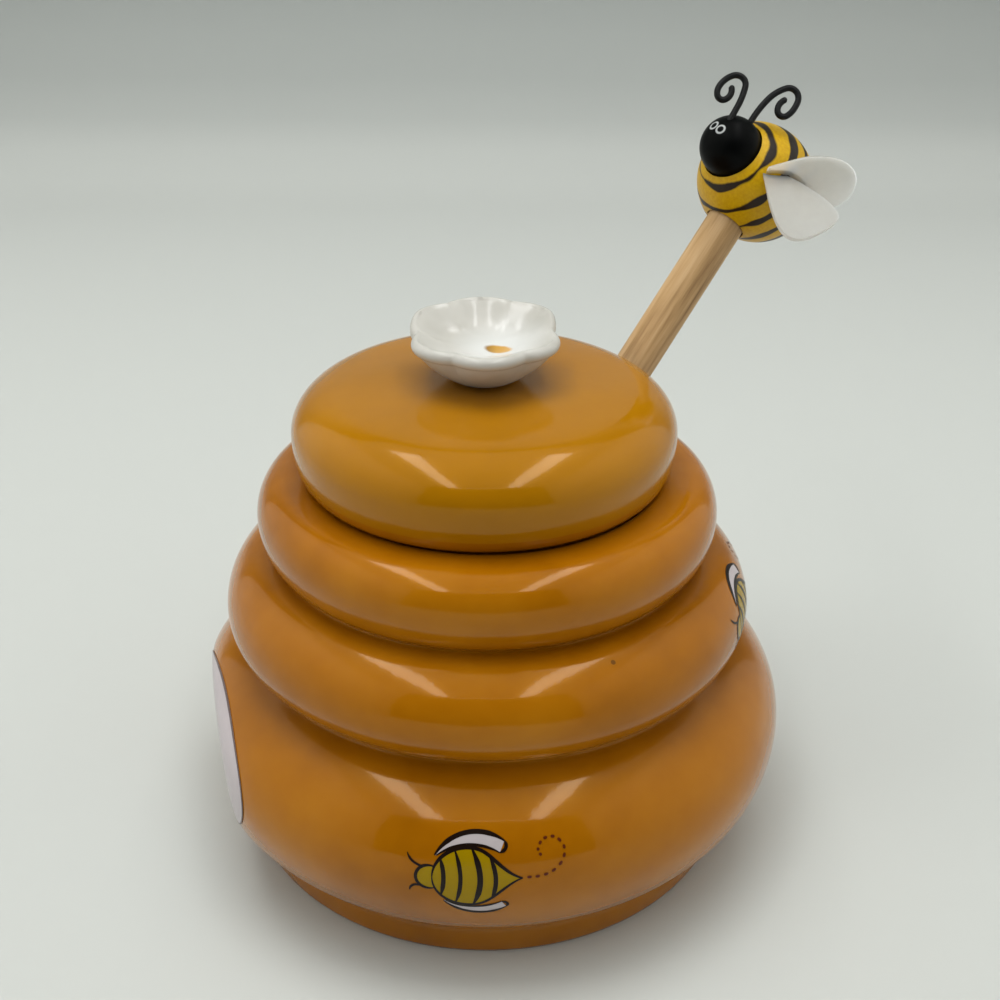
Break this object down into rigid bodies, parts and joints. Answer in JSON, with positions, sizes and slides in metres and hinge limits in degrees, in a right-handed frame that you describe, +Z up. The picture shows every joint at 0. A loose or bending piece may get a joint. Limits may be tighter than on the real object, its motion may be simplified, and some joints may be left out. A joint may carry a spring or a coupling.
{
  "type": "ceramic honey jar",
  "caption": "Beehive-shaped glazed pot with a lift-off domed lid, a flower knob and a wooden honey dipper topped by a bee that leans out through a notch in the lid",
  "frame": {"origin": "centre of the pot's base, on the plane that it stands on", "axes": "+Z up along the pot's axis; -Y towards the viewer of the picture; +X to the viewer's right, the side that the dipper leans to"},
  "size_m": [0.1261, 0.114, 0.135],
  "materials": {
    "amber_glaze": "glossy transparent amber-brown glaze over stoneware",
    "white_glaze": "glossy white glaze with a spot of ochre",
    "beech": "plain sanded hardwood, unvarnished",
    "yellow_paint": "satin golden-yellow paint on turned wood, with dark stripes",
    "black_paint": "satin black paint on a wooden bead",
    "white_wing": "off-white moulded resin, matt, with soft edges",
    "black_wire": "black-coated craft wire"
  },
  "bodies": {
    "pot": {"jar": "amber_glaze"},
    "lid": {"lid": "amber_glaze", "flower_knob": "white_glaze"},
    "dipper": {"dipper_head": "beech", "dipper_rod": "beech", "bee_body": "yellow_paint", "bee_head": "black_paint", "bee_wing_left": "white_wing", "bee_wing_right": "white_wing", "antenna_left": "black_wire", "antenna_right": "black_wire"}
  },
  "joints": [
    {"name": "lid_lift", "type": "slide", "parent": "pot", "child": "lid", "axis": [0, 0, 1], "range_m": [0, 0.08]},
    {"name": "dipper_draw", "type": "slide", "parent": "pot", "child": "dipper", "axis": [0.536, 0.4218, 0.7313], "range_m": [0, 0.03]}
  ]
}
